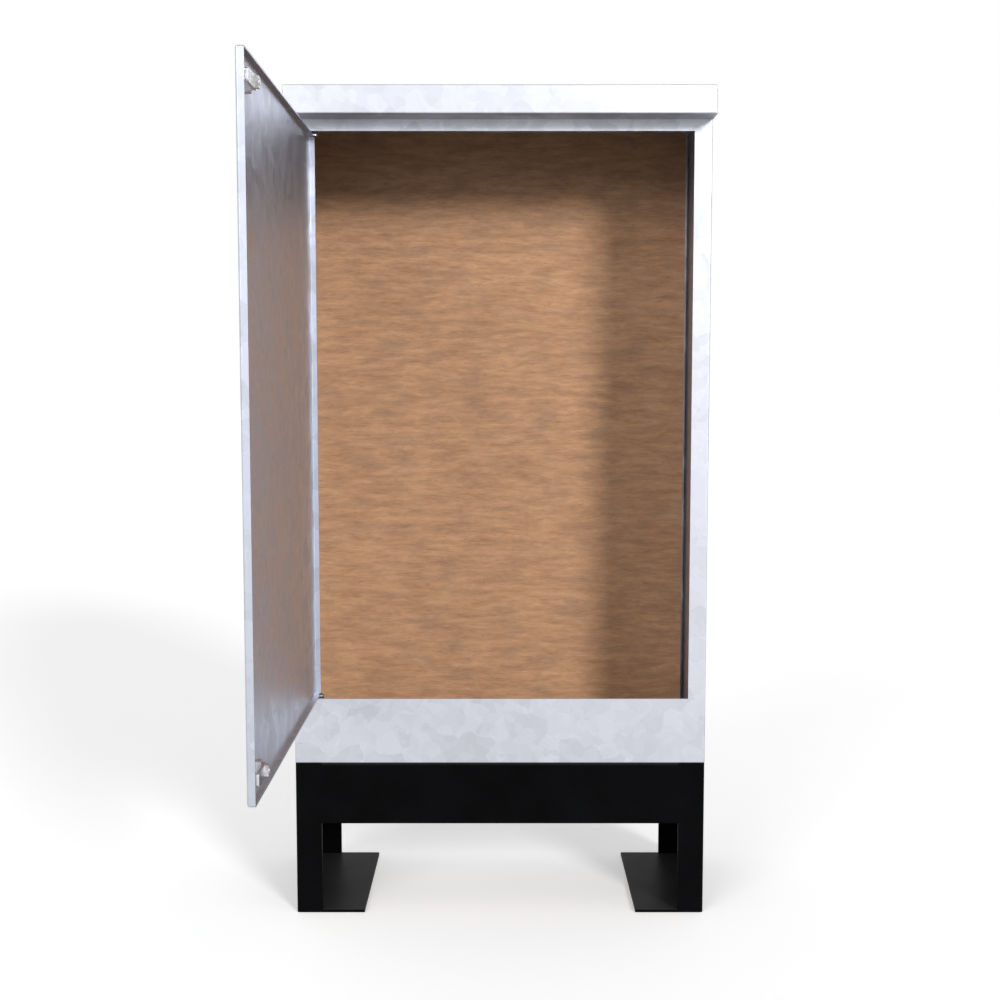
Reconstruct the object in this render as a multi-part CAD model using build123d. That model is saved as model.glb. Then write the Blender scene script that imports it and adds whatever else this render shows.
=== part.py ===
from build123d import *
import os

# Feeder pillar: a galvanised street cabinet on a black root, with one inset door and a plywood board inside.
# Millimetres. The origin is on the floor under the middle of the cabinet, X across, -Y to the front, Z up.
# The door is drawn shut, in its opening, and then turned to its resting place at door_rest_angle.

# Cabinet
cabinet_width = 600.0
cabinet_depth = 250.0
body_height = 925.0
body_sheet = 2.0
body_fold_radius = 2.3
bottom_flange = 37.0
rear_lip = 20.0
back_clearance = 0.5

# Door opening
stile_width = 25.5
sill_height = 96.0
top_rail_height = 16.0

# Roof
roof_front_height = 40.0
roof_rear_height = 32.0
roof_overhang = 42.0
soffit_lip = 10.0

# Root, the black base that is sunk or bolted down
plinth_height = 225.0
plinth_sheet = 4.0
plinth_inner_radius = 0.5
leg_width = 38.0
foot_width = 100.0
apron_height = 91.5
top_flange = 40.0
apron_return = 20.0

# Bolts between the body and the root
bolt_radius = 5.0
bolt_hole_clearance = 0.5
bolt_across_flats = 17.0
bolt_head_height = 6.4
bolt_nut_height = 8.0
bolt_washer_radius = 10.0
bolt_washer_sheet = 2.0
bolt_tail = 3.0
bolt_across = 180.0

# Board and the bars that hang it
board_sheet = 12.0
board_side_gap = 6.0
board_top_gap = 9.0
board_floor_gap = 13.0
board_corner_radius = 7.0
board_stand_off = 8.0
cleat_sheet = 1.5
cleat_gap = 0.3
cleat_fold_radius = 0.1
cleat_end_gap = 40.0
cleat_foot = 22.0
cleat_hook = 14.0
cleat_drop = 120.0
screw_radius = 2.0
screw_head_radius = 4.0
screw_head_height = 1.8
screw_head_chamfer = 0.9
screw_length = 9.0
screw_count = 4

# Door
door_sheet = 2.0
door_flange = 9.6
door_fold_radius = 3.0
door_side_gap = 2.0
door_top_gap = 3.0
door_bottom_gap = 1.5
door_setback = 2.5
door_rest_angle = -90.1

# Hinges
pin_from_edge = 9.5
pin_from_face = 10.8
pin_radius = 2.5
running_clearance = 0.05
fixed_clearance = 0.02
bush_wall = 0.75
bush_flange_radius = 4.4
bush_flange_sheet = 1.5
ear_radius = 5.2
hinge_gap = 7.5
thrust_clearance = 0.1
pin_head_radius = 4.4
pin_head_height = 2.5
pin_tip_chamfer = 0.75
bracket_sheet = 3.0
bracket_width = 36.0
bracket_height = 10.5
bracket_reach = 22.0
bracket_fold_radius = 1.0

# Locks
lock_from_edge = 46.5
lock_from_end = 29.0
housing_flange_radius = 14.0
housing_flange_sheet = 2.3
housing_chamfer = 0.8
barrel_radius = 9.5
barrel_length = 9.6
recess_radius = 8.0
recess_depth = 4.6
plug_radius = 6.0
plug_head_sheet = 1.5
plug_head_clearance = 0.3
drive_side = 8.0
drive_height = 2.8
lock_nut_across_flats = 22.0
lock_nut_height = 7.0
cam_clearance = 0.5
cam_sheet = 3.2
cam_width = 15.0
cam_reach = 42.5
cam_tail = 8.5
cam_corner_radius = 3.0
cam_square = 8.0
cam_square_clearance = 0.05
cam_nut_across_flats = 13.0
cam_nut_height = 4.0
cam_tail_thread_radius = 3.5
cam_tail_thread_end = 1.0
chamfer_slope = 0.55

# Keepers behind the rail and the sill
keeper_sheet = 2.0
keeper_width = 40.0
keeper_height = 12.0
keeper_gap = 0.3
keeper_set_in = 3.0
keeper_fold_radius = 0.5

# Planes and levels worked out from the sizes above
front = -cabinet_depth / 2
rear = cabinet_depth / 2
side = cabinet_width / 2
body_bottom = plinth_height
body_top = body_bottom + body_height
floor_of_body = body_bottom + body_sheet
opening_half = side - stile_width
opening_bottom = body_bottom + sill_height
opening_top = body_top - top_rail_height
door_half = opening_half - door_side_gap
door_face = front + door_setback
door_bottom = opening_bottom + door_bottom_gap
door_top = opening_top - door_top_gap
pin_x = -door_half + pin_from_edge
pin_y = door_face + pin_from_face
bush_radius = pin_radius + running_clearance + bush_wall
back_face = rear - 2 * body_sheet
board_back = back_face - board_stand_off
board_face = board_back - board_sheet
board_half = side - body_sheet - board_side_gap
board_top = body_top + roof_rear_height - body_sheet - board_top_gap
board_bottom = floor_of_body + board_floor_gap
lock_x = door_half - lock_from_edge
cam_face = door_face + door_flange + cam_clearance
cam_back = cam_face + cam_sheet
lock_levels = {"top": door_top - lock_from_end, "bottom": door_bottom + lock_from_end}
up_or_down = {"top": 1, "bottom": -1}

FLOOR = (Align.CENTER, Align.CENTER, Align.MIN)
ROOT_3 = 3**0.5

pieces = {}


def block(x, y, z):
    """A box from its lowest to its highest corner, each argument a pair of limits."""
    size = [high - low for low, high in (x, y, z)]
    middle = [(high + low) / 2 for low, high in (x, y, z)]
    return Pos(*middle) * Box(*size)


def folded(points, sheet, inner_radius):
    """The section of a folded sheet, along the middle of its thickness."""
    return trace(FilletPolyline(*points, radius=inner_radius + sheet / 2), line_width=sheet)


def along_x(section, width, centre=0.0):
    """Carries a section drawn in Y and Z along X, with the given middle."""
    return Pos(centre, 0, 0) * extrude(Plane.YZ * section, amount=width / 2, both=True)


def upright(radius, bottom, top, x=0.0, y=0.0):
    """A round bar along Z."""
    return Pos(x, y, bottom) * Cylinder(radius, top - bottom, align=FLOOR)


def hexagon(across_flats, height, double=False):
    """A hexagon along Z from zero, its corners turned off at the top, and below as well if double."""
    corner = across_flats / ROOT_3
    drop = (corner - across_flats / 2) * chamfer_slope
    profile = [(0, 0), (corner, 0), (corner, height - drop), (across_flats / 2, height), (0, height)]
    if double:
        profile = [(0, 0), (across_flats / 2, 0), (corner, drop)] + profile[2:]
    turned = revolve(Plane.XZ * make_face(Polyline(*profile, close=True)), Axis.Z)
    return extrude(RegularPolygon(corner, 6), height) & turned


def out_of_face(shape, x, y, z):
    """Turns a shape drawn along +Z so that it points to the rear, and moves it."""
    return Pos(x, y, z) * Rot(-90, 0, 0) * shape


# Cabinet


def body_wrap():
    """Front frame, sides, rear lips and bottom flange, folded from one sheet."""
    outside = block((-side, side), (front, rear), (body_bottom, body_top))
    folds = outside.edges().filter_by(Axis.Z) + outside.faces().sort_by(Axis.Z)[0].edges()
    outside = fillet(folds, body_fold_radius)
    shell = offset(outside, amount=-body_sheet, openings=outside.faces().sort_by(Axis.Z)[-1])
    opening = block(
        (-opening_half, opening_half),
        (front - body_sheet, front + 2 * body_sheet),
        (opening_bottom, opening_top),
    )
    rear_window = block(
        (-side + rear_lip, side - rear_lip),
        (rear - 2 * body_sheet, rear + body_sheet),
        (body_bottom + rear_lip, body_top + body_sheet),
    )
    bottom_window = block(
        (-side + bottom_flange, side - bottom_flange),
        (front + bottom_flange, rear - bottom_flange),
        (body_bottom - body_sheet, body_bottom + 2 * body_sheet),
    )
    return shell - opening - rear_window - bottom_window - bolt_holes()


def back_panel():
    """Flat sheet welded inside the rear lips."""
    half = side - body_sheet - back_clearance
    lift = body_fold_radius - body_sheet + back_clearance
    return block((-half, half), (back_face, back_face + body_sheet), (floor_of_body + lift, body_top))


def roof_cap():
    """Folded lid that falls to the rear, with its soffit lapped over the top of the front sheet."""
    outline = Polyline(
        (front - roof_overhang, body_top),
        (front - roof_overhang, body_top + roof_front_height),
        (rear, body_top + roof_rear_height),
        (rear, body_top),
        close=True,
    )
    outside = along_x(make_face(outline), cabinet_width)
    lowest = outside.edges().group_by(Axis.Z)[0]
    keep_sharp = lowest.filter_by(Axis.Y) + lowest.filter_by(Axis.X).sort_by(Axis.Y)[-1:]
    folds = [edge for edge in outside.edges() if edge not in keep_sharp]
    outside = fillet(folds, body_fold_radius)
    hollow = outside - offset(outside, amount=-body_sheet)
    return hollow - block(
        (-side + body_sheet, side - body_sheet),
        (front + soffit_lip, rear - body_sheet),
        (body_top - body_sheet, body_top + 2 * body_sheet),
    )


def bolt_places():
    """Two bolts through each long flange and one through each short flange."""
    middle = bottom_flange / 2 + body_sheet / 2
    long_sides = [(x, y) for x in (-bolt_across, bolt_across) for y in (front + middle, rear - middle)]
    return long_sides + [(-side + middle, 0.0), (side - middle, 0.0)]


def bolt_holes():
    """Clearance holes through both flanges."""
    radius = bolt_radius + bolt_hole_clearance
    bottom = body_bottom - 2 * plinth_sheet
    return [upright(radius, bottom, body_bottom + 2 * body_sheet, x, y) for x, y in bolt_places()]


def plinth_side(hand):
    """Side of the root with its leg returns, foot flange and top flange; hand is -1 or 1."""
    half_sheet = plinth_sheet / 2
    return_end = hand * (side - leg_width)
    wall = hand * (side - half_sheet)
    plan = folded(
        [
            (return_end, front + half_sheet),
            (wall, front + half_sheet),
            (wall, rear - half_sheet),
            (return_end, rear - half_sheet),
        ],
        plinth_sheet,
        plinth_inner_radius,
    )
    foot = block(sorted((hand * (side - foot_width), hand * side)), (front, rear), (0, plinth_sheet))
    corners = foot.edges().filter_by(Axis.Z).group_by(Axis.X)[-1 if hand > 0 else 0]
    foot = fillet(corners, plinth_inner_radius + plinth_sheet)
    flange = block(
        sorted((hand * (side - top_flange), hand * (side - half_sheet))),
        (front + top_flange, rear - top_flange),
        (plinth_height - plinth_sheet, plinth_height),
    )
    return extrude(plan, amount=plinth_height) + foot + flange - bolt_holes()


def plinth_apron(direction):
    """Apron between two legs, folded in at its top and bottom; direction is -1 at the front, 1 at the rear."""
    half_sheet = plinth_sheet / 2
    face = direction * (rear - half_sheet)
    bottom = plinth_height - apron_height
    section = folded(
        [
            (direction * (rear - top_flange), plinth_height - half_sheet),
            (face, plinth_height - half_sheet),
            (face, bottom + half_sheet),
            (direction * (rear - apron_return), bottom + half_sheet),
        ],
        plinth_sheet,
        plinth_inner_radius,
    )
    return along_x(section, 2 * (side - leg_width)) - bolt_holes()


def plinth_fasteners():
    """Bolts, washers and nuts, each as a list of solids."""
    head_bottom = floor_of_body + bolt_washer_sheet
    nut_top = plinth_height - plinth_sheet - bolt_washer_sheet
    tail = nut_top - bolt_nut_height - bolt_tail
    washer = Cylinder(bolt_washer_radius, bolt_washer_sheet, align=FLOOR)
    washer -= Cylinder(bolt_radius + fixed_clearance, bolt_washer_sheet, align=FLOOR)
    nut = hexagon(bolt_across_flats, bolt_nut_height, double=True)
    nut -= Cylinder(bolt_radius + fixed_clearance, bolt_nut_height, align=FLOOR)
    bolts, washers, nuts = [], [], []
    for x, y in bolt_places():
        head = Pos(x, y, head_bottom) * hexagon(bolt_across_flats, bolt_head_height)
        bolts.append(head + upright(bolt_radius, tail, head_bottom, x, y))
        washers.append(Pos(x, y, floor_of_body) * washer)
        washers.append(Pos(x, y, nut_top) * washer)
        nuts.append(Pos(x, y, nut_top - bolt_nut_height) * nut)
    return bolts, washers, nuts


# Board


def backboard():
    """Plywood board with rounded corners."""
    outline = RectangleRounded(2 * board_half, board_top - board_bottom, board_corner_radius)
    middle = (board_top + board_bottom) / 2
    return Pos(0, board_face, middle) * extrude(Plane.XZ * outline, amount=-board_sheet)


def cleat_levels():
    """Height of the hooking edge of each pair of cleats."""
    return {"upper": board_top - cleat_drop, "lower": board_bottom + cleat_drop}


def wall_cleat(level):
    """Z-bar on the back panel, its hook pointing up and standing off the panel."""
    foot = back_face - cleat_sheet / 2
    hook = back_face - 2 * cleat_sheet - 2 * cleat_gap - cleat_sheet / 2
    points = [(foot, level - cleat_foot), (foot, level), (hook, level), (hook, level + cleat_hook)]
    return along_x(folded(points, cleat_sheet, cleat_fold_radius), 2 * (board_half - cleat_end_gap))


def board_cleat(level):
    """Z-bar on the back of the board, its hook pointing down behind the hook of the wall cleat."""
    foot = board_back + cleat_sheet / 2
    hook = back_face - cleat_sheet - cleat_gap + cleat_sheet / 2
    seat = level + cleat_hook + cleat_sheet + cleat_gap
    points = [(foot, seat + cleat_foot), (foot, seat), (hook, seat), (hook, seat - cleat_hook)]
    return along_x(folded(points, cleat_sheet, cleat_fold_radius), 2 * (board_half - cleat_end_gap)) - screw_bores()


def screw_places():
    """Evenly spaced along the foot of each board cleat."""
    reach = board_half - cleat_end_gap - cleat_foot
    step = 2 * reach / (screw_count - 1)
    seats = [level + cleat_hook + cleat_sheet + cleat_gap for level in cleat_levels().values()]
    return [(-reach + step * i, seat + cleat_foot / 2) for seat in seats for i in range(screw_count)]


def screw_bores():
    """Holes for the shanks, from the rear face of the cleats into the board."""
    radius = screw_radius + fixed_clearance
    rear_face = board_back + cleat_sheet
    bore = Cylinder(radius, screw_length + fixed_clearance, align=FLOOR)
    return [Pos(x, rear_face, z) * Rot(90, 0, 0) * bore for x, z in screw_places()]


def cleat_screw():
    """Wood screw with a low head, drawn along Z with its head on top of zero."""
    head = Cylinder(screw_head_radius, screw_head_height, align=FLOOR)
    head = chamfer(head.edges().group_by(Axis.Z)[-1], screw_head_chamfer)
    return head + Cylinder(screw_radius, screw_length, align=(Align.CENTER, Align.CENTER, Align.MAX))


# Hinges


def at_hinge(end):
    """The outer face of the door's ear and the direction that leads away from the door."""
    return (door_top, 1) if end == "top" else (door_bottom, -1)


def span(start, direction, near, far):
    """Two levels at the given distances from a start, lowest first."""
    return sorted((start + direction * near, start + direction * far))


def hinge_bracket(end):
    """Angle bracket welded behind the front sheet, with a hole for the pin."""
    ear, direction = at_hinge(end)
    leg = ear + direction * (hinge_gap + bracket_sheet / 2)
    foot = front + body_sheet + bracket_sheet / 2
    points = [
        (foot, ear + direction * (hinge_gap + bracket_height)),
        (foot, leg),
        (front + body_sheet + bracket_reach, leg),
    ]
    bracket = along_x(folded(points, bracket_sheet, bracket_fold_radius), bracket_width, pin_x)
    hole = span(ear, direction, 0, hinge_gap + 2 * bracket_sheet)
    return bracket - upright(pin_radius + fixed_clearance, *hole, pin_x, pin_y)


def hinge_pin(end):
    """Pin through the bracket, the spacer and the bush, its head on the far side of the bracket."""
    ear, direction = at_hinge(end)
    seat = hinge_gap + bracket_sheet
    tip = -door_sheet - bush_flange_sheet
    pin = upright(pin_radius, *span(ear, direction, tip, seat), pin_x, pin_y)
    tip_edge = pin.edges().group_by(Axis.Z)[0 if direction > 0 else -1]
    pin = chamfer(tip_edge, pin_tip_chamfer)
    return pin + upright(pin_head_radius, *span(ear, direction, seat, seat + pin_head_height), pin_x, pin_y)


def hinge_spacer(end):
    """Ring that keeps the bush at its distance from the bracket."""
    ear, direction = at_hinge(end)
    levels = span(ear, direction, bush_flange_sheet + thrust_clearance, hinge_gap)
    ring = upright(bush_flange_radius, *levels, pin_x, pin_y)
    return ring - upright(pin_radius + running_clearance, *levels, pin_x, pin_y)


def hinge_bush(end):
    """Flanged bush pressed into the ear of the door."""
    ear, direction = at_hinge(end)
    sleeve = upright(bush_radius, *span(ear, direction, -door_sheet, 0), pin_x, pin_y)
    flange = upright(bush_flange_radius, *span(ear, direction, 0, bush_flange_sheet), pin_x, pin_y)
    bore = upright(pin_radius + running_clearance, *span(ear, direction, -2 * door_sheet, hinge_gap), pin_x, pin_y)
    return sleeve + flange - bore


# Door


def door_panel():
    """Folded tray with an ear for the hinge on its top flange and on its bottom flange."""
    outside = block((-door_half, door_half), (door_face, door_face + door_flange), (door_bottom, door_top))
    folds = outside.edges().filter_by(Axis.Y) + outside.faces().sort_by(Axis.Y)[0].edges()
    outside = fillet(folds, door_fold_radius)
    tray = offset(outside, amount=-door_sheet, openings=outside.faces().sort_by(Axis.Y)[-1])
    inner_edge = door_face + door_flange
    for end in ("top", "bottom"):
        ear, direction = at_hinge(end)
        levels = span(ear, direction, -door_sheet, 0)
        tray += upright(ear_radius, *levels, pin_x, pin_y)
        tray += block(
            (pin_x - ear_radius, pin_x + ear_radius), (inner_edge - door_sheet, pin_y), levels
        )
        tray -= upright(bush_radius + fixed_clearance, *span(ear, direction, -2 * door_sheet, door_sheet), pin_x, pin_y)
    for level in lock_levels.values():
        hole = Cylinder(barrel_radius + fixed_clearance, 3 * door_sheet)
        tray -= out_of_face(hole, lock_x, door_face, level)
    return tray


# Locks, drawn along Z with zero at the outer face of the door and plus towards the inside


def lock_housing():
    """Turned barrel with an outer flange, a bore for the plug and a recess for the key."""
    body = Pos(0, 0, -housing_flange_sheet) * Cylinder(housing_flange_radius, housing_flange_sheet, align=FLOOR)
    body = chamfer(body.edges().group_by(Axis.Z)[0], housing_chamfer)
    body += Cylinder(barrel_radius, barrel_length, align=FLOOR)
    body -= Pos(0, 0, -housing_flange_sheet) * Cylinder(recess_radius, recess_depth, align=FLOOR)
    return body - Cylinder(plug_radius, barrel_length, align=FLOOR)


def lock_nut():
    """Hexagon nut that clamps the housing to the door."""
    nut = hexagon(lock_nut_across_flats, lock_nut_height, double=True)
    nut -= Cylinder(barrel_radius + fixed_clearance, lock_nut_height, align=FLOOR)
    return Pos(0, 0, door_sheet) * nut


def lock_plug():
    """Plug with a three-cornered drive outside and a square and a threaded end inside."""
    floor = recess_depth - housing_flange_sheet
    square_start = cam_face - door_face
    square_end = cam_back - door_face
    tail_end = square_end + cam_nut_height + cam_tail_thread_end
    head = Pos(0, 0, floor - plug_head_sheet)
    plug = head * Cylinder(recess_radius - plug_head_clearance, plug_head_sheet, align=FLOOR)
    drive = extrude(RegularPolygon(drive_side / ROOT_3, 3), drive_height)
    plug += Pos(0, 0, floor - plug_head_sheet - drive_height) * drive
    plug += Cylinder(plug_radius - running_clearance, square_start, align=FLOOR)
    plug += Pos(0, 0, square_start) * Box(cam_square, cam_square, cam_sheet, align=FLOOR)
    tail = Pos(0, 0, square_end) * Cylinder(cam_tail_thread_radius, tail_end - square_end, align=FLOOR)
    return plug + tail


def lock_cam():
    """Flat cam that points along +X, with rounded corners and a square hole."""
    length = cam_reach + cam_tail
    outline = Pos(cam_reach - length / 2, 0) * RectangleRounded(length, cam_width, cam_corner_radius)
    cam = extrude(outline, cam_sheet)
    hole = cam_square + 2 * cam_square_clearance
    cam -= Box(hole, hole, cam_sheet, align=FLOOR)
    return Pos(0, 0, cam_face - door_face) * cam


def cam_nut():
    """Hexagon nut on the threaded end of the plug."""
    nut = hexagon(cam_nut_across_flats, cam_nut_height)
    nut -= Cylinder(cam_tail_thread_radius + fixed_clearance, cam_nut_height, align=FLOOR)
    return Pos(0, 0, cam_back - door_face) * nut


def keeper(end):
    """Folded catch behind the front sheet, its lip where the turned cam bears on it."""
    direction = up_or_down[end]
    edge = opening_top if end == "top" else opening_bottom
    near = edge + direction * keeper_set_in
    far = near + direction * (keeper_height - keeper_sheet / 2)
    foot = front + body_sheet + keeper_sheet / 2
    lip = cam_face - keeper_gap - keeper_sheet / 2
    points = [(foot, near), (foot, far), (lip, far), (lip, near)]
    return along_x(folded(points, keeper_sheet, keeper_fold_radius), keeper_width, lock_x)


# The door and what it carries is turned from its place in the opening to where it rests


def hung(shape):
    """Turns a piece of the shut door about the hinge pins."""
    axis = Pos(pin_x, pin_y, 0)
    return axis * Rot(0, 0, door_rest_angle) * axis.inverse() * shape


def on_lock(shape, end):
    """Puts a lock piece in the door; the lower lock is the upper one turned over."""
    return out_of_face(Rot(0, 0, 0 if end == "top" else 180) * shape, lock_x, door_face, lock_levels[end])


pieces["body_wrap"] = body_wrap()
pieces["back_panel"] = back_panel()
pieces["roof_cap"] = roof_cap()
pieces["plinth_side_left"] = plinth_side(-1)
pieces["plinth_side_right"] = plinth_side(1)
pieces["plinth_front_apron"] = plinth_apron(-1)
pieces["plinth_rear_apron"] = plinth_apron(1)
bolts, washers, nuts = plinth_fasteners()
pieces["plinth_bolts"] = Compound(bolts)
pieces["plinth_washers"] = Compound(washers)
pieces["plinth_nuts"] = Compound(nuts)
pieces["backboard"] = backboard() - screw_bores()
for row, level in cleat_levels().items():
    pieces["wall_cleat_" + row] = wall_cleat(level)
    pieces["board_cleat_" + row] = board_cleat(level)
screw = cleat_screw()
head_seat = board_back + cleat_sheet
pieces["cleat_screws"] = Compound([out_of_face(screw, x, head_seat, z) for x, z in screw_places()])
pieces["door_panel"] = hung(door_panel())
for end in ("top", "bottom"):
    pieces["hinge_bracket_" + end] = hinge_bracket(end)
    pieces["hinge_pin_" + end] = hinge_pin(end)
    pieces["hinge_spacer_" + end] = hinge_spacer(end)
    pieces["hinge_bush_" + end] = hung(hinge_bush(end))
    pieces["keeper_" + end] = keeper(end)
    pieces["lock_housing_" + end] = hung(on_lock(lock_housing(), end))
    pieces["lock_nut_" + end] = hung(on_lock(lock_nut(), end))
    pieces["lock_plug_" + end] = hung(on_lock(lock_plug(), end))
    pieces["lock_cam_" + end] = hung(out_of_face(lock_cam(), lock_x, door_face, lock_levels[end]))
    pieces["cam_nut_" + end] = hung(on_lock(cam_nut(), end))

os.makedirs("parts", exist_ok=True)
for name, shape in pieces.items():
    export_step(shape, "parts/" + name + ".step")
    size = shape.bounding_box()
    print(f"{name}: {size.min.X:.1f} {size.min.Y:.1f} {size.min.Z:.1f} to "
          f"{size.max.X:.1f} {size.max.Y:.1f} {size.max.Z:.1f}")
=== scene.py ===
"""Feeder pillar: sheet, root, board, hinge and lock finishes, welds, threads and a small studio.

The file is laid out as an add-on and is run as a script. Everything is in metres, in the cabinet's own frame:
the floor is at Z 0, the front looks along -Y and the door is hung at -X.
"""

import math

import bpy
import numpy as np
from bpy.props import FloatProperty, FloatVectorProperty, IntProperty, PointerProperty
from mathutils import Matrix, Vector


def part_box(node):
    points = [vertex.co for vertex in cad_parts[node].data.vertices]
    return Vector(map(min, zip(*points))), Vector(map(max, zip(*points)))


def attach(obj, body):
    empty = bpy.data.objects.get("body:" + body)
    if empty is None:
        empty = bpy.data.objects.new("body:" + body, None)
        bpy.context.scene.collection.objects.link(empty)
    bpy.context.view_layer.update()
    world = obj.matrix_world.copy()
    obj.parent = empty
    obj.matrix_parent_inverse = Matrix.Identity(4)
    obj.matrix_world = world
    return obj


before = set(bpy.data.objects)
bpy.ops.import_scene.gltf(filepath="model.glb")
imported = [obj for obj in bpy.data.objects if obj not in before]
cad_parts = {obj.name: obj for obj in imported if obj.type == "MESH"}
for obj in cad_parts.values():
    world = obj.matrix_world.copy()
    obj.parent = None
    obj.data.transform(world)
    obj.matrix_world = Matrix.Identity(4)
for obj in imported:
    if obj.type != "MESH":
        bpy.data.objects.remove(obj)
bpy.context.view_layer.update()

bl_info = {
    "name": "Feeder pillar",
    "version": (1, 0, 0),
    "blender": (4, 5, 0),
    "location": "3D View > Sidebar > Pillar",
    "description": "Finishes a galvanised street cabinet and sets up the studio round it",
    "category": "Object",
}

SHEET_NODES = ("body_wrap", "back_panel", "roof_cap", "keeper_top", "keeper_bottom")
DOOR_NODES = ("door_panel",)
ROOT_NODES = ("plinth_side_left", "plinth_side_right", "plinth_front_apron", "plinth_rear_apron")
BOARD_NODES = ("backboard",)
BAR_NODES = (
    "wall_cleat_upper",
    "wall_cleat_lower",
    "board_cleat_upper",
    "board_cleat_lower",
    "hinge_bracket_top",
    "hinge_bracket_bottom",
)
FASTENER_NODES = ("plinth_bolts", "plinth_washers", "plinth_nuts", "cleat_screws")
PIN_NODES = ("hinge_pin_top", "hinge_pin_bottom", "hinge_spacer_top", "hinge_spacer_bottom")
BUSH_NODES = ("hinge_bush_top", "hinge_bush_bottom")
LOCK_NODES = ("lock_housing_top", "lock_housing_bottom", "lock_plug_top", "lock_plug_bottom")
LOCK_STEEL_NODES = (
    "lock_nut_top",
    "lock_nut_bottom",
    "lock_cam_top",
    "lock_cam_bottom",
    "cam_nut_top",
    "cam_nut_bottom",
)
BRACKET_NODES = ("hinge_bracket_top", "hinge_bracket_bottom", "keeper_top", "keeper_bottom")
CLEAT_NODES = ("wall_cleat_upper", "wall_cleat_lower")

# Sizes of the CAD that its boxes don't give, in metres
BODY_SHEET = 0.002
APRON_SHEET = 0.004
BOLT_RADIUS = 0.005
BOLT_FROM_MIDDLE = 0.18
NUT_FLATS = 0.017

# Where the welds sit, in metres from the ends and edges of what they hold
BRACKET_MARGIN = 0.0012
CLEAT_MARGIN = 0.03
APRON_MARGIN_LOW = 0.02
APRON_MARGIN_HIGH = 0.025
SPOT_FROM_EDGE = 0.011
SPOT_MARGIN_LOW = 0.05
SPOT_MARGIN_HIGH = 0.06

# How many welds lie in a row
CLEAT_STITCHES = 5
APRON_STITCHES = 3
SPOTS_UP = 13
SPOTS_ACROSS = 8

# How a bead differs from the usual one: smaller at the cleats, flatter at the aprons
CLEAT_BEAD_SHARE = 0.6
APRON_BEAD_RISE = 0.5

# Gaps that keep one surface off another, in metres
THREAD_INSET = 0.0001
FLOOR_DROP = 0.0003

FLOOR_RADIUS = 30.0
WHITE = (1.0, 1.0, 1.0, 1.0)


# Settings


class SheetSettings(bpy.types.PropertyGroup):
    """Galvanised sheet."""

    light: FloatVectorProperty(
        name="Light crystals", description="Colour of the brightest zinc crystals", subtype="COLOR",
        size=3, min=0, max=1, default=(0.57, 0.585, 0.645))
    dark: FloatVectorProperty(
        name="Dark crystals", description="Colour of the dullest zinc crystals", subtype="COLOR",
        size=3, min=0, max=1, default=(0.46, 0.47, 0.515))
    # Painted shade: this tint darkens the faces that look down.
    underside_shade: FloatVectorProperty(
        name="Painted underside shade", description="Tint of the faces that look down", subtype="COLOR",
        size=3, min=0, max=1, default=(0.46, 0.44, 0.44))
    door_tint: FloatVectorProperty(
        name="Door tint", description="Tint of the door's sheet", subtype="COLOR",
        size=3, min=0, max=2, default=(0.96, 0.985, 1.02))
    bar_tint: FloatVectorProperty(
        name="Bar tint", description="Tint of the brackets and the cleats", subtype="COLOR",
        size=3, min=0, max=2, default=(1.06, 1.05, 1.04))
    crystal: FloatProperty(
        name="Crystal size", description="Mean width of a zinc crystal", subtype="DISTANCE", unit="LENGTH",
        min=0.002, max=0.1, default=0.028)
    roughness: FloatProperty(
        name="Roughness", description="Mean roughness of the zinc", subtype="FACTOR",
        min=0, max=1, default=0.42)


class RootSettings(bpy.types.PropertyGroup):
    """Black paint on the root."""

    colour: FloatVectorProperty(
        name="Paint", description="Colour of the paint", subtype="COLOR",
        size=3, min=0, max=1, default=(0.0022, 0.0023, 0.0026))
    # Painted sheen: this colour lightens the faces that look up.
    painted_sheen: FloatVectorProperty(
        name="Painted sheen", description="Colour of the dust on faces that look up", subtype="COLOR",
        size=3, min=0, max=1, default=(0.036, 0.036, 0.038))
    roughness: FloatProperty(
        name="Roughness", description="Mean roughness of the paint", subtype="FACTOR",
        min=0, max=1, default=0.38)


class BoardSettings(bpy.types.PropertyGroup):
    """Plywood board."""

    light: FloatVectorProperty(
        name="Early wood", description="Colour between the grain lines", subtype="COLOR",
        size=3, min=0, max=1, default=(0.68, 0.38, 0.205))
    dark: FloatVectorProperty(
        name="Late wood", description="Colour of the grain lines", subtype="COLOR",
        size=3, min=0, max=1, default=(0.37, 0.19, 0.10))
    cloud: FloatVectorProperty(
        name="Clouds", description="Colour of the grey-brown clouds", subtype="COLOR",
        size=3, min=0, max=1, default=(0.30, 0.19, 0.125))
    grain: FloatProperty(
        name="Grain spacing", description="Mean distance between two grain lines", subtype="DISTANCE",
        unit="LENGTH", min=0.001, max=0.1, default=0.009)
    stretch: FloatProperty(
        name="Grain stretch", description="Length of a grain mark over its height", min=1, max=40, default=6)
    ply: FloatProperty(
        name="Ply", description="Thickness of one veneer", subtype="DISTANCE", unit="LENGTH",
        min=0.0005, max=0.005, default=0.0024)


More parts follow.
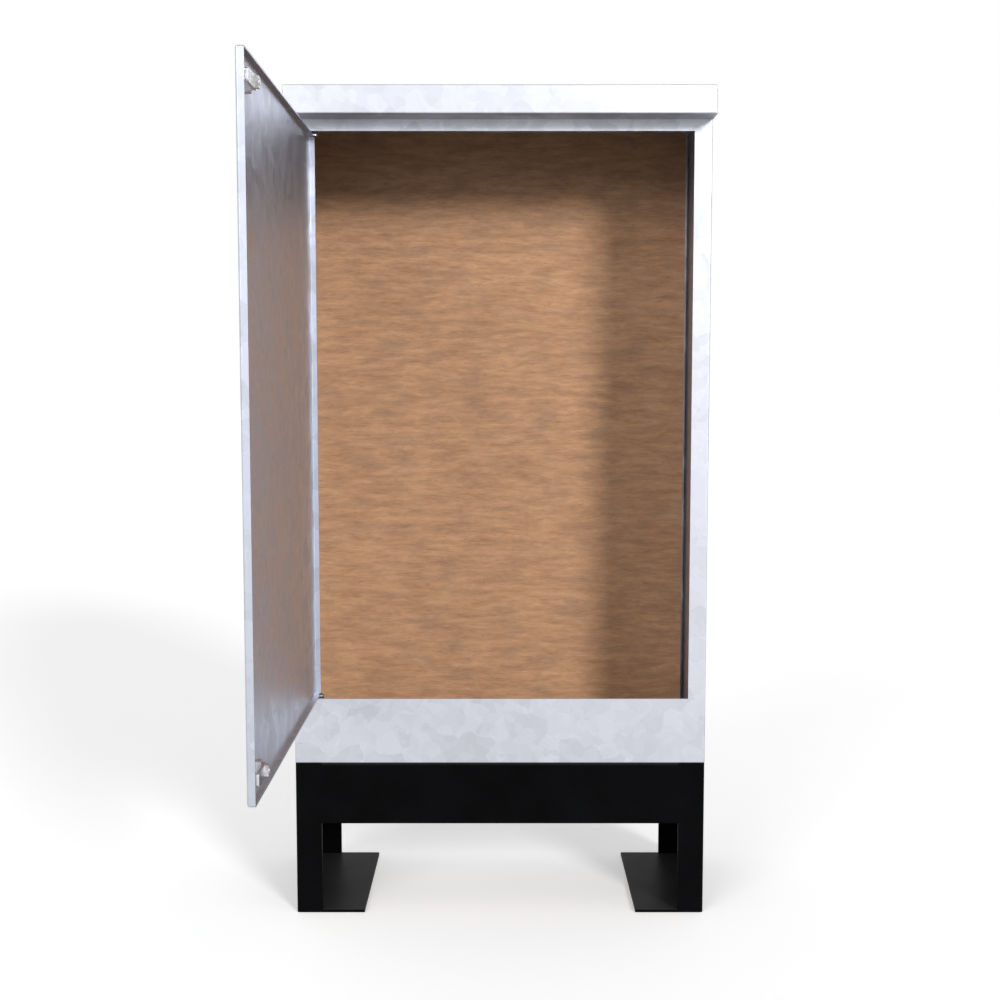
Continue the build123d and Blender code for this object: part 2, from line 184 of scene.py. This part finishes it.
class HardwareSettings(bpy.types.PropertyGroup):
    """Locks, hinges, fasteners, threads and welds."""

    zinc: FloatVectorProperty(
        name="Zinc plate", description="Colour of plated nuts, bolts and cams", subtype="COLOR",
        size=3, min=0, max=1, default=(0.66, 0.66, 0.68))
    nickel: FloatVectorProperty(
        name="Lock body", description="Colour of the lock's die-cast body", subtype="COLOR",
        size=3, min=0, max=1, default=(0.62, 0.61, 0.59))
    # Painted shade: the pin and bush colours are darkened to the shade at the hinge corner and to keep a
    # highlight off them.
    pin: FloatVectorProperty(
        name="Pin", description="Colour of the shaded steel pins and spacers", subtype="COLOR",
        size=3, min=0, max=1, default=(0.11, 0.108, 0.105))
    brass: FloatVectorProperty(
        name="Bush", description="Colour of the shade-darkened brass bush", subtype="COLOR",
        size=3, min=0, max=1, default=(0.13, 0.098, 0.05))
    pitch: FloatProperty(
        name="Thread pitch", description="Pitch of the bolts' thread", subtype="DISTANCE", unit="LENGTH",
        min=0.0005, max=0.003, default=0.0015)
    thread_height: FloatProperty(
        name="Thread height", description="From the root of the thread to its crest", subtype="DISTANCE",
        unit="LENGTH", min=0.0001, max=0.002, default=0.0004)
    bead: FloatProperty(
        name="Weld bead", description="Leg of a stitch weld", subtype="DISTANCE", unit="LENGTH",
        min=0.001, max=0.006, default=0.0028)
    stitch: FloatProperty(
        name="Stitch", description="Length of a stitch weld", subtype="DISTANCE", unit="LENGTH",
        min=0.005, max=0.1, default=0.02)
    ripples: IntProperty(
        name="Weld ripples", description="Ripples along a stitch weld", min=4, max=40, default=13)
    spot_radius: FloatProperty(
        name="Spot radius", description="Radius of a spot weld's mark", subtype="DISTANCE", unit="LENGTH",
        min=0.001, max=0.01, default=0.003)
    spot_height: FloatProperty(
        name="Spot height", description="Height of the ring of a spot weld's mark", subtype="DISTANCE",
        unit="LENGTH", min=0.00005, max=0.001, default=0.00012)


class StudioSettings(bpy.types.PropertyGroup):
    """Lamps, floor, surround and camera."""

    key: FloatProperty(
        name="Key lamp", description="Strength of the distant lamp at the front right", min=0, max=20,
        default=1.9)
    key_side: FloatProperty(
        name="Key direction", description="Angle of the key lamp to the right of the front", subtype="ANGLE",
        unit="ROTATION", default=math.radians(29.1))
    key_height: FloatProperty(
        name="Key elevation", description="Angle of the key lamp above the floor", subtype="ANGLE",
        unit="ROTATION", default=math.radians(18.9))
    key_size: FloatProperty(
        name="Key size", description="Angle that the key lamp covers", subtype="ANGLE", unit="ROTATION",
        default=math.radians(13))
    fill: FloatProperty(
        name="Fill lamp", description="Strength of the distant lamp at the front left", min=0, max=20,
        default=0.9)
    fill_side: FloatProperty(
        name="Fill direction", description="Angle of the fill lamp to the right of the front",
        subtype="ANGLE", unit="ROTATION", default=math.radians(-32))
    fill_height: FloatProperty(
        name="Fill elevation", description="Angle of the fill lamp above the floor", subtype="ANGLE",
        unit="ROTATION", default=math.radians(21))
    fill_size: FloatProperty(
        name="Fill size", description="Angle that the fill lamp covers", subtype="ANGLE", unit="ROTATION",
        default=math.radians(30))
    ambient: FloatProperty(
        name="Ambient", description="Strength of the surround on rough surfaces", min=0, max=4, default=0.52)
    floor_glow: FloatProperty(
        name="Floor glow", description="Light that the floor shows in full shade", min=0, max=1, default=0.29)
    camera_distance: FloatProperty(
        name="Camera distance", description="From the middle of the cabinet to the camera",
        subtype="DISTANCE", unit="LENGTH", min=0.5, max=20, default=2.1186)
    camera_height: FloatProperty(
        name="Camera height", description="From the floor to the camera", subtype="DISTANCE", unit="LENGTH",
        min=0, max=5, default=0.7866)
    camera_pitch: FloatProperty(
        name="Camera pitch", description="How far the camera looks down", subtype="ANGLE", unit="ROTATION",
        default=math.radians(5))
    lens: FloatProperty(name="Lens", description="Focal length in millimetres", min=10, max=300, default=50)


SETTINGS = {
    "pillar_sheet": SheetSettings,
    "pillar_root": RootSettings,
    "pillar_board": BoardSettings,
    "pillar_hardware": HardwareSettings,
    "pillar_studio": StudioSettings,
}


# Node trees


class Tree:
    """A material or world node tree that is filled from short calls."""

    def __init__(self, owner):
        owner.use_nodes = True
        self.nodes = owner.node_tree.nodes
        self.links = owner.node_tree.links
        self.nodes.clear()

    def add(self, kind, inputs=None, **settings):
        """A node with its settings, its inputs set to values or joined to other nodes' sockets."""
        made = self.nodes.new(kind)
        for name, value in settings.items():
            setattr(made, name, value)
        for name, value in (inputs or {}).items():
            if isinstance(value, bpy.types.NodeSocket):
                self.links.new(value, made.inputs[name])
            else:
                made.inputs[name].default_value = value
        return made

    def math(self, operation, a, b=0.0, clamp=False):
        """One step of arithmetic."""
        return self.add("ShaderNodeMath", {0: a, 1: b}, operation=operation, use_clamp=clamp).outputs[0]

    def scaled(self, value, low, high, to_low, to_high):
        """Carries a value from one range to another, held at its ends."""
        inputs = {"Value": value, "From Min": low, "From Max": high, "To Min": to_low, "To Max": to_high}
        return self.add("ShaderNodeMapRange", inputs).outputs["Result"]

    def mixed(self, factor, a, b, blend="MIX"):
        """A mix of two colours; the node's colour sockets are 6 and 7, and its colour output is 2."""
        inputs = {0: factor, 6: a, 7: b}
        return self.add("ShaderNodeMix", inputs, data_type="RGBA", blend_type=blend).outputs[2]

    def vector(self, operation, a, b):
        """One step of arithmetic on vectors; b is the factor where the operation is SCALE."""
        inputs = {0: a, "Scale" if operation == "SCALE" else 1: b}
        return self.add("ShaderNodeVectorMath", inputs, operation=operation).outputs[0]

    def noise(self, vector, scale, detail=2.0, roughness=0.5):
        """Cloudy noise, its scale in waves to the metre; its factor output."""
        inputs = {"Vector": vector, "Scale": scale, "Detail": detail, "Roughness": roughness}
        return self.add("ShaderNodeTexNoise", inputs).outputs["Fac"]

    def placed(self, scale=(1, 1, 1), location=(0, 0, 0), turn=(0, 0, 0)):
        """The object's own coordinates, moved, turned and scaled."""
        where = self.add("ShaderNodeTexCoord").outputs["Object"]
        inputs = {"Vector": where, "Scale": scale, "Location": location, "Rotation": turn}
        return self.add("ShaderNodeMapping", inputs).outputs["Vector"]

    def facing(self, axis):
        """How far the surface faces along an axis of the scene, from -1 to 1."""
        normal = self.add("ShaderNodeNewGeometry").outputs["Normal"]
        return self.add("ShaderNodeSeparateXYZ", {0: normal}).outputs[axis]

    def bump(self, height, distance, strength=1.0, normal=None):
        """A bump from a height between 0 and 1, its distance in metres."""
        inputs = {"Height": height, "Distance": distance, "Strength": strength}
        if normal is not None:
            inputs["Normal"] = normal
        return self.add("ShaderNodeBump", inputs).outputs["Normal"]

    def output(self, shader, kind="ShaderNodeOutputMaterial"):
        """The output, fed by a shader."""
        self.add(kind, {"Surface": shader.outputs[0]})

    def surface(self, **inputs):
        """The surface shader, its sockets named with underscores, and the output."""
        named = {name.replace("_", " "): value for name, value in inputs.items()}
        self.output(self.add("ShaderNodeBsdfPrincipled", named))


def rgba(colour, factor=1.0):
    """A colour with full alpha."""
    return (colour[0] * factor, colour[1] * factor, colour[2] * factor, 1.0)


def new_material(name):
    """A new material and its tree."""
    material = bpy.data.materials.new(name)
    return material, Tree(material)


# Finishes


def galvanised(name, settings, seed=0.0, tint=(1.0, 1.0, 1.0)):
    """Hot-dip zinc: soft-edged crystals of two sizes, each with its own tone, and painted shade that darkens
    the faces that look down.
    """
    material, tree = new_material(name)
    here = tree.placed(location=(seed, 0.3 * seed, 0.7 * seed))
    size = settings.crystal
    drift = tree.add("ShaderNodeTexNoise", {"Vector": here, "Scale": 0.7 / size, "Detail": 3.0})
    moved = tree.vector("SUBTRACT", drift.outputs["Color"], (0.5, 0.5, 0.5))
    warped = tree.vector("ADD", here, tree.vector("SCALE", moved, 0.9 * size))
    tones = []
    for share in (1.15, 0.55):
        inputs = {"Vector": warped, "Scale": 1.0 / (share * size), "Smoothness": 0.06}
        cells = tree.add("ShaderNodeTexVoronoi", inputs, feature="SMOOTH_F1")
        tones.append(tree.add("ShaderNodeSeparateColor", {0: cells.outputs["Color"]}).outputs[0])
    tone = tree.math("ADD", tree.math("MULTIPLY", tones[0], 0.62), tree.math("MULTIPLY", tones[1], 0.38))
    wash = tree.noise(here, 5.0, 3.0)
    tone = tree.math("ADD", tone, tree.scaled(wash, 0.3, 0.7, -0.12, 0.12))
    colour = tree.mixed(tree.scaled(tone, 0.15, 0.85, 0.0, 1.0), rgba(settings.dark), rgba(settings.light))
    # Painted shade: faces that look down are multiplied by the underside tint.
    down = tree.scaled(tree.facing("Z"), -0.9, -0.4, 1.0, 0.0)
    colour = tree.mixed(down, colour, tree.mixed(1.0, colour, rgba(settings.underside_shade), "MULTIPLY"))
    roughness = tree.scaled(tone, 0.1, 0.9, settings.roughness + 0.07, settings.roughness - 0.05)
    fine = tree.noise(here, 900.0, 2.0)
    normal = tree.bump(tone, 0.00006)
    normal = tree.bump(fine, 0.00002, 0.6, normal)
    colour = tree.mixed(1.0, colour, rgba(tint), "MULTIPLY")
    tree.surface(Base_Color=colour, Metallic=1.0, Roughness=roughness, Normal=normal)
    return material


def black_paint(name, settings):
    """Satin black paint with a fine orange peel, a duller bloom in places and a painted sheen that lightens
    it where it faces up.
    """
    material, tree = new_material(name)
    here = tree.placed()
    bloom = tree.noise(here, 14.0, 4.0, 0.6)
    peel = tree.noise(here, 420.0, 2.0)
    speck = tree.noise(here, 1500.0, 1.0)
    blooming = tree.scaled(bloom, 0.35, 0.75, 0.0, 1.0)
    colour = tree.mixed(blooming, rgba(settings.colour), rgba(settings.colour, 1.8))
    # Painted sheen: faces that look up are mixed towards the sheen colour, more in the bloom.
    sheen_mask = tree.scaled(tree.facing("Z"), 0.4, 0.9, 0.0, tree.scaled(bloom, 0.3, 0.7, 0.6, 1.0))
    colour = tree.mixed(sheen_mask, colour, rgba(settings.painted_sheen))
    roughness = tree.scaled(bloom, 0.3, 0.7, settings.roughness - 0.05, settings.roughness + 0.08)
    normal = tree.bump(peel, 0.00005, 0.7)
    normal = tree.bump(speck, 0.00001, 0.5, normal)
    tree.surface(Base_Color=colour, Roughness=roughness, Specular_IOR_Level=0.02, Normal=normal)
    return material


def plywood(name, settings):
    """Rotary-cut veneer: grain along X over soft bands, clouds, pores and flecks, and plies on the edges."""
    material, tree = new_material(name)
    stretch = settings.stretch
    waver = tree.noise(tree.placed(scale=(0.35, 1.0, 1.0)), 16.0, 3.0, 0.5)
    lift = tree.add("ShaderNodeCombineXYZ", {"Z": tree.scaled(waver, 0.2, 0.8, -0.008, 0.008)}).outputs[0]
    along = tree.placed(scale=(1.0 / stretch, 1.0, 1.0))
    flowing = tree.vector("ADD", along, lift)
    lines = tree.noise(flowing, 1.0 / settings.grain, 5.0, 0.65)
    fine = tree.noise(flowing, 3.4 / settings.grain, 3.0, 0.6)
    fibres = tree.noise(tree.placed(scale=(1.0 / (5 * stretch), 1.0, 1.0)), 1300.0, 2.0, 0.6)
    coarse = tree.scaled(lines, 0.36, 0.68, 0.0, 0.62)
    grain = tree.math("ADD", coarse, tree.scaled(fine, 0.35, 0.68, 0.0, 0.30))
    grain = tree.math("ADD", grain, tree.scaled(fibres, 0.35, 0.75, -0.06, 0.12), clamp=True)
    face = tree.mixed(grain, rgba(settings.light), rgba(settings.dark))
    broad = tree.noise(tree.placed(scale=(0.6, 1.0, 1.0)), 9.0, 2.0, 0.5)
    face = tree.mixed(tree.scaled(broad, 0.35, 0.70, 0.0, 0.16), face, rgba(settings.dark))
    clouds = tree.noise(tree.placed(scale=(0.5, 1.0, 1.0)), 42.0, 4.0, 0.6)
    face = tree.mixed(tree.scaled(clouds, 0.50, 0.72, 0.0, 0.42), face, rgba(settings.cloud))
    pores = tree.noise(tree.placed(scale=(0.16, 1.0, 1.0)), 700.0, 1.0)
    face = tree.mixed(tree.scaled(pores, 0.66, 0.78, 0.0, 0.5), face, rgba(settings.dark, 0.6))
    flecks = tree.noise(tree.placed(scale=(0.6, 1.0, 1.0), turn=(0.0, 0.5, 0.0)), 150.0, 3.0, 0.6)
    face = tree.mixed(tree.scaled(flecks, 0.70, 0.80, 0.0, 0.45), face, rgba(settings.dark, 0.5))
    depth = tree.add("ShaderNodeSeparateXYZ", {0: tree.placed()}).outputs["Y"]
    ply = tree.math("PINGPONG", depth, settings.ply)
    ply = tree.scaled(ply, 0.35 * settings.ply, 0.65 * settings.ply, 0.0, 1.0)
    edge = tree.mixed(ply, rgba(settings.light, 0.9), rgba(settings.dark, 1.1))
    on_edge = tree.math("LESS_THAN", tree.math("ABSOLUTE", tree.facing("Y")), 0.5)
    colour = tree.mixed(on_edge, face, edge)
    roughness = tree.scaled(grain, 0.0, 1.0, 0.58, 0.70)
    normal = tree.bump(tree.math("SUBTRACT", 1.0, fibres), 0.00006, 0.5)
    normal = tree.bump(tree.math("SUBTRACT", 1.0, lines), 0.00010, 0.5, normal)
    tree.surface(Base_Color=colour, Roughness=roughness, Specular_IOR_Level=0.35, Normal=normal)
    return material


def plated(name, colour, roughness, grain=1400.0, wear=1.0):
    """Plated metal with a cloudy tone and fine handling marks, which wear makes stronger."""
    material, tree = new_material(name)
    cloud = tree.noise(tree.placed(), 160.0, 4.0, 0.6)
    marks = tree.noise(tree.placed(scale=(1.0, 0.15, 1.0), turn=(0.3, 0.2, 0.5)), grain, 3.0, 0.7)
    tone = tree.mixed(tree.scaled(cloud, 0.3, 0.7, 0.0, 1.0), rgba(colour, 0.82), rgba(colour, 1.08))
    tone = tree.mixed(tree.scaled(marks, 0.55, 0.75, 0.0, 0.35 * wear), tone, rgba(colour, 0.55))
    rough = tree.scaled(marks, 0.3, 0.7, roughness - 0.06, roughness + 0.08)
    tree.surface(Base_Color=tone, Metallic=1.0, Roughness=rough, Normal=tree.bump(marks, 0.00002, 0.5 * wear))
    return material


def turned(name, colour, roughness):
    """Turned metal: fine rings round the hinge axis, which runs along Z."""
    material, tree = new_material(name)
    rings = tree.noise(tree.placed(scale=(0.05, 0.05, 1.0)), 5200.0, 2.0)
    cloud = tree.noise(tree.placed(), 220.0, 3.0)
    tone = tree.mixed(tree.scaled(cloud, 0.3, 0.7, 0.0, 1.0), rgba(colour, 0.85), rgba(colour, 1.05))
    rough = tree.scaled(rings, 0.3, 0.7, roughness - 0.06, roughness + 0.10)
    tree.surface(Base_Color=tone, Metallic=1.0, Roughness=rough, Normal=tree.bump(rings, 0.00001, 0.7))
    return material


def dress(names, material):
    """Gives CAD nodes their finish."""
    for name in names:
        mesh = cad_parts[name].data
        mesh.materials.clear()
        mesh.materials.append(material)


# Stage


def lamp(name, strength, side, height, size):
    """A distant lamp: side is its angle to the right of the front, and height its angle above the floor."""
    data = bpy.data.lights.new(name, "SUN")
    data.energy = strength
    data.angle = size
    made = bpy.data.objects.new(name, data)
    flat = math.cos(height)
    source = Vector((math.sin(side) * flat, -math.cos(side) * flat, math.sin(height)))
    made.rotation_euler = source.to_track_quat("Z", "Y").to_euler()
    bpy.context.scene.collection.objects.link(made)


def seen(tree):
    """1 for rays from the camera, from gloss and through glass, and 0 for light on rough surfaces."""
    path = tree.add("ShaderNodeLightPath")
    gloss = tree.math("MAXIMUM", path.outputs["Is Glossy Ray"], path.outputs["Is Transmission Ray"])
    direct = tree.math("LESS_THAN", path.outputs["Diffuse Depth"], 0.5)
    return tree.math("MAXIMUM", path.outputs["Is Camera Ray"], tree.math("MULTIPLY", gloss, direct))


def surround(settings):
    """White where it is seen and dimmer where it lights the rough surfaces."""
    world = bpy.data.worlds.new("surround")
    bpy.context.scene.world = world
    tree = Tree(world)
    strength = tree.scaled(seen(tree), 0.0, 1.0, settings.ambient, 1.0)
    white = tree.add("ShaderNodeBackground", {"Color": WHITE, "Strength": strength})
    tree.output(white, "ShaderNodeOutputWorld")


def floor_finish(settings):
    """Pale floor that keeps the shadows and is near white where it is lit and seen."""
    material, tree = new_material("floor")
    shown = seen(tree)
    strength = tree.math("MULTIPLY", shown, settings.floor_glow)
    glow = tree.add("ShaderNodeEmission", {"Color": WHITE, "Strength": strength})
    pale = tree.mixed(shown, rgba(WHITE, 0.25), rgba(WHITE, 0.95))
    lit = tree.add("ShaderNodeBsdfDiffuse", {"Color": pale})
    tree.output(tree.add("ShaderNodeAddShader", {0: glow.outputs[0], 1: lit.outputs[0]}))
    return material


# Pieces


def quads(rows, columns, closed=False):
    """The faces between the points of a grid, also between its last and its first row where it is closed."""
    index = np.arange(rows * columns).reshape(rows, columns)
    if closed:
        index = np.vstack((index, index[:1]))
    return np.stack((index[:-1, :-1], index[1:, :-1], index[1:, 1:], index[:-1, 1:]), -1).reshape(-1, 4)


def joined_mesh(name, grids):
    """One smooth mesh from several grids of points (rows, columns, 3), each an open sheet of quads."""
    points, faces, start = [], [], 0
    for grid in grids:
        rows, columns = grid.shape[:2]
        points.append(grid.reshape(-1, 3))
        faces.append(start + quads(rows, columns))
        start += rows * columns
    mesh = bpy.data.meshes.new(name)
    mesh.from_pydata(np.concatenate(points).tolist(), [], np.concatenate(faces).tolist())
    mesh.shade_smooth()
    mesh.update()
    return mesh


def weld_bead(start, end, side_a, side_b, leg, ripples, sweep=np.pi / 2):
    """A stitch weld: an arc in the plane of two sides, carried from start to end.

    point(s, t) = start + s (end - start) + leg e(s) (1 + 0.10 |sin(pi n s)|) (cos(t) a + sin(t) b), where
    e(s) = (1 - |2 s - 1|^6)^(1/2) rounds the ends and n is the number of ripples.
    """
    s, t = np.meshgrid(np.linspace(0.0, 1.0, 6 * ripples + 1), np.linspace(0.0, sweep, 9), indexing="ij")
    reach = leg * np.sqrt(np.clip(1.0 - np.abs(2.0 * s - 1.0) ** 6, 0.0, 1.0))
    reach = reach * (1.0 + 0.10 * np.abs(np.sin(np.pi * ripples * s)))
    start, end, side_a, side_b = (np.asarray(v, float) for v in (start, end, side_a, side_b))
    across = np.cos(t)[..., None] * side_a + np.sin(t)[..., None] * side_b
    return start + s[..., None] * (end - start) + reach[..., None] * across


def thread_turns(centre, bottom, top, radius, pitch, height):
    """A screw thread round an upright shank: a cylinder whose radius follows a triangle wave along a helix.

    r(u, v) = radius + height (1 - |2 frac(v / pitch - u / 2 pi) - 1|), with v the level and u the angle.
    """
    turn = np.linspace(0.0, 2.0 * np.pi, 49)
    level = np.linspace(bottom, top, int(round((top - bottom) / pitch * 10)) + 1)
    u, v = np.meshgrid(turn, level, indexing="ij")
    wave = 1.0 - np.abs(2.0 * np.mod(v / pitch - u / (2.0 * np.pi), 1.0) - 1.0)
    ends = np.clip(np.minimum(v - bottom, top - v) / (0.4 * pitch), 0.0, 1.0)
    r = radius + height * wave * ends
    return np.stack((centre[0] + r * np.cos(u), centre[1] + r * np.sin(u), v), -1)


def spot_weld(place, radius, height):
    """The mark of a spot weld on a face that looks along +Y: a low ring round a shallow dish.

    y(r) = height exp(-((r - 0.75 radius) / (0.16 radius))^2) + 0.2 height (1 - (r / radius)^4).
    """
    r, u = np.meshgrid(np.linspace(0.0, radius, 13), np.linspace(0.0, 2.0 * np.pi, 25), indexing="ij")
    lift = height * np.exp(-(((r - 0.75 * radius) / (0.16 * radius)) ** 2))
    lift = lift + 0.2 * height * (1.0 - (r / radius) ** 4)
    return np.stack((place[0] + r * np.sin(u), place[1] + lift, place[2] + r * np.cos(u)), -1)


def placed_piece(name, mesh, material):
    """A new piece of the cabinet, with its finish."""
    mesh.materials.append(material)
    piece = bpy.data.objects.new(name, mesh)
    bpy.context.scene.collection.objects.link(piece)
    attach(piece, "cabinet")


def bracket_beads(settings, face):
    """Beads down both ends of the folded brackets whose feet lie on a face that looks along +Y."""
    beads = []
    for node in BRACKET_NODES:
        low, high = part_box(node)
        for x, way in ((low[0], -1.0), (high[0], 1.0)):
            start, end = (x, face, low[2] + BRACKET_MARGIN), (x, face, high[2] - BRACKET_MARGIN)
            beads.append(weld_bead(start, end, (way, 0, 0), (0, 1, 0), settings.bead, settings.ripples // 2))
    return beads


def cleat_beads(settings):
    """Stitches under the feet of the wall cleats, along the back panel."""
    beads = []
    half, leg = 0.5 * settings.stitch, CLEAT_BEAD_SHARE * settings.bead
    for node in CLEAT_NODES:
        low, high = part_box(node)
        for x in np.linspace(low[0] + CLEAT_MARGIN, high[0] - CLEAT_MARGIN, CLEAT_STITCHES):
            start, end = (x - half, high[1], low[2]), (x + half, high[1], low[2])
            beads.append(weld_bead(start, end, (0, 0, -1), (0, -1, 0), leg, settings.ripples))
    return beads


def apron_beads(settings):
    """Stitches inside the root, where the ends of the aprons meet the legs."""
    beads = []
    half = 0.5 * settings.stitch
    for node, inward in (("plinth_front_apron", 1.0), ("plinth_rear_apron", -1.0)):
        low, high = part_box(node)
        face = low[1] + APRON_SHEET if inward > 0 else high[1] - APRON_SHEET
        out = (0, APRON_BEAD_RISE * inward, 0)
        for x in (low[0], high[0]):
            for z in np.linspace(low[2] + APRON_MARGIN_LOW, high[2] - APRON_MARGIN_HIGH, APRON_STITCHES):
                start, end = (x, face, z - half), (x, face, z + half)
                beads.append(weld_bead(start, end, (1, 0, 0), out, settings.bead, settings.ripples, np.pi))
    return beads


def spot_marks(settings, low, high):
    """Marks of the spot welds down both rear lips and along the bottom flange of the body, from its box."""
    rear, radius, height = high[1], settings.spot_radius, settings.spot_height
    marks = []
    for x in (low[0] + SPOT_FROM_EDGE, high[0] - SPOT_FROM_EDGE):
        for z in np.linspace(low[2] + SPOT_MARGIN_LOW, high[2] - SPOT_MARGIN_HIGH, SPOTS_UP):
            marks.append(spot_weld((x, rear, z), radius, height))
    for x in np.linspace(low[0] + SPOT_MARGIN_HIGH, high[0] - SPOT_MARGIN_HIGH, SPOTS_ACROSS):
        marks.append(spot_weld((x, rear, low[2] + SPOT_FROM_EDGE), radius, height))
    return marks


def floor_mesh():
    """A flat disc, a hair under the feet.

    point(r, u) = (r cos(u), r sin(u), -drop), with r from the rim to the middle and u the angle.
    """
    r, u = np.meshgrid(np.linspace(FLOOR_RADIUS, 0.0005, 12), np.linspace(0, 2 * np.pi, 64, endpoint=False))
    points = np.stack((r * np.cos(u), r * np.sin(u), np.full_like(r, -FLOOR_DROP)), -1)
    mesh = bpy.data.meshes.new("floor")
    mesh.from_pydata(points.reshape(-1, 3).tolist(), [], quads(*points.shape[:2], closed=True).tolist())
    mesh.update()
    return mesh


# Operators


class PILLAR_OT_sheet(bpy.types.Operator):
    """Galvanise the body, the roof, the door and the keepers"""

    bl_idname = "pillar.sheet"
    bl_label = "Galvanise the sheet"

    def execute(self, context):
        settings = context.scene.pillar_sheet
        dress(SHEET_NODES, galvanised("galvanised_sheet", settings))
        dress(DOOR_NODES, galvanised("galvanised_door", settings, seed=3.7, tint=settings.door_tint))
        dress(BAR_NODES, galvanised("galvanised_bar", settings, seed=1.9, tint=settings.bar_tint))
        return {"FINISHED"}


class PILLAR_OT_root(bpy.types.Operator):
    """Paint the root black"""

    bl_idname = "pillar.root"
    bl_label = "Paint the root"

    def execute(self, context):
        dress(ROOT_NODES, black_paint("black_root", context.scene.pillar_root))
        return {"FINISHED"}


class PILLAR_OT_board(bpy.types.Operator):
    """Give the board its veneer"""

    bl_idname = "pillar.board"
    bl_label = "Veneer the board"

    def execute(self, context):
        dress(BOARD_NODES, plywood("plywood_board", context.scene.pillar_board))
        return {"FINISHED"}


class PILLAR_OT_hardware(bpy.types.Operator):
    """Finish the hinges, the locks and the fasteners"""

    bl_idname = "pillar.hardware"
    bl_label = "Finish the hardware"

    def execute(self, context):
        settings = context.scene.pillar_hardware
        dress(FASTENER_NODES, plated("zinc_fastener", settings.zinc, 0.34))
        dress(LOCK_STEEL_NODES, plated("zinc_lock_steel", settings.zinc, 0.30, wear=0.15))
        dress(LOCK_NODES, plated("die_cast_lock", settings.nickel, 0.30, grain=900.0, wear=0.15))
        # The pins, spacers and bushes take near-black colours that stand in for the shade at the hinge.
        dress(PIN_NODES, turned("turned_pin", settings.pin, 0.62))
        dress(BUSH_NODES, turned("turned_bush", settings.brass, 0.66))
        return {"FINISHED"}


class PILLAR_OT_welds(bpy.types.Operator):
    """Weld the brackets, the keepers, the wall cleats, the aprons and the back panel"""

    bl_idname = "pillar.welds"
    bl_label = "Add the welds"

    def execute(self, context):
        settings = context.scene.pillar_hardware
        bright = plated("weld_bright", settings.zinc, 0.46, grain=700.0)
        low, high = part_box("body_wrap")
        beads = bracket_beads(settings, low[1] + BODY_SHEET) + cleat_beads(settings)
        placed_piece("stitch_welds", joined_mesh("stitch_welds", beads), bright)
        black = black_paint("black_weld", context.scene.pillar_root)
        placed_piece("apron_welds", joined_mesh("apron_welds", apron_beads(settings)), black)
        marks = joined_mesh("spot_welds", spot_marks(settings, low, high))
        placed_piece("spot_welds", marks, bright)
        return {"FINISHED"}


class PILLAR_OT_threads(bpy.types.Operator):
    """Cut the threads on the ends of the root's bolts"""

    bl_idname = "pillar.threads"
    bl_label = "Add the threads"

    def execute(self, context):
        settings = context.scene.pillar_hardware
        bolts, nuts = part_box("plinth_bolts"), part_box("plinth_nuts")
        side_y = nuts[1][1] - 0.5 * NUT_FLATS
        end_x = nuts[1][0] - NUT_FLATS / math.sqrt(3)
        places = [(x, y) for x in (-BOLT_FROM_MIDDLE, BOLT_FROM_MIDDLE) for y in (-side_y, side_y)]
        places += [(-end_x, 0.0), (end_x, 0.0)]
        bottom, top = bolts[0][2] + THREAD_INSET, nuts[0][2]
        radius = BOLT_RADIUS - THREAD_INSET
        turns = []
        for place in places:
            turns.append(thread_turns(place, bottom, top, radius, settings.pitch, settings.thread_height))
        finish = plated("thread_zinc", settings.zinc, 0.36)
        placed_piece("bolt_threads", joined_mesh("bolt_threads", turns), finish)
        return {"FINISHED"}


class PILLAR_OT_stage(bpy.types.Operator):
    """Set up the floor, the surround, the lamps and the camera"""

    bl_idname = "pillar.stage"
    bl_label = "Set up the studio"

    def execute(self, context):
        scene = context.scene
        settings = scene.pillar_studio
        scene.view_settings.view_transform = "Standard"
        surround(settings)
        floor = bpy.data.objects.new("floor", floor_mesh())
        floor.data.materials.append(floor_finish(settings))
        scene.collection.objects.link(floor)
        lamp("key", settings.key, settings.key_side, settings.key_height, settings.key_size)
        lamp("fill", settings.fill, settings.fill_side, settings.fill_height, settings.fill_size)
        data = bpy.data.cameras.new("camera")
        data.lens = settings.lens
        camera = bpy.data.objects.new("camera", data)
        camera.location = (0.0, -settings.camera_distance, settings.camera_height)
        camera.rotation_euler = (math.radians(90) - settings.camera_pitch, 0.0, 0.0)
        scene.collection.objects.link(camera)
        scene.camera = camera
        return {"FINISHED"}


STEPS = (
    PILLAR_OT_stage,
    PILLAR_OT_sheet,
    PILLAR_OT_root,
    PILLAR_OT_board,
    PILLAR_OT_hardware,
    PILLAR_OT_welds,
    PILLAR_OT_threads,
)


class PILLAR_PT_panel(bpy.types.Panel):
    """Lists the steps and their settings"""

    bl_idname = "PILLAR_PT_panel"
    bl_label = "Feeder pillar"
    bl_space_type = "VIEW_3D"
    bl_region_type = "UI"
    bl_category = "Pillar"

    def draw(self, context):
        for step in STEPS:
            self.layout.operator(step.bl_idname)
        for name, group in SETTINGS.items():
            box = self.layout.box()
            box.label(text=group.__doc__)
            for key in group.__annotations__:
                box.prop(getattr(context.scene, name), key)


def register():
    """Adds the settings, the steps and the panel."""
    for group in SETTINGS.values():
        bpy.utils.register_class(group)
    for name, group in SETTINGS.items():
        setattr(bpy.types.Scene, name, PointerProperty(type=group))
    for step in STEPS:
        bpy.utils.register_class(step)
    bpy.utils.register_class(PILLAR_PT_panel)


def unregister():
    """Takes the panel, the steps and the settings away again."""
    bpy.utils.unregister_class(PILLAR_PT_panel)
    for step in reversed(STEPS):
        bpy.utils.unregister_class(step)
    for name, group in SETTINGS.items():
        delattr(bpy.types.Scene, name)
        bpy.utils.unregister_class(group)


def main():
    """Registers the add-on and runs its steps in order."""
    register()
    bpy.ops.pillar.stage()
    bpy.ops.pillar.sheet()
    bpy.ops.pillar.root()
    bpy.ops.pillar.board()
    bpy.ops.pillar.hardware()
    bpy.ops.pillar.welds()
    bpy.ops.pillar.threads()


if __name__ == "__main__":
    main()
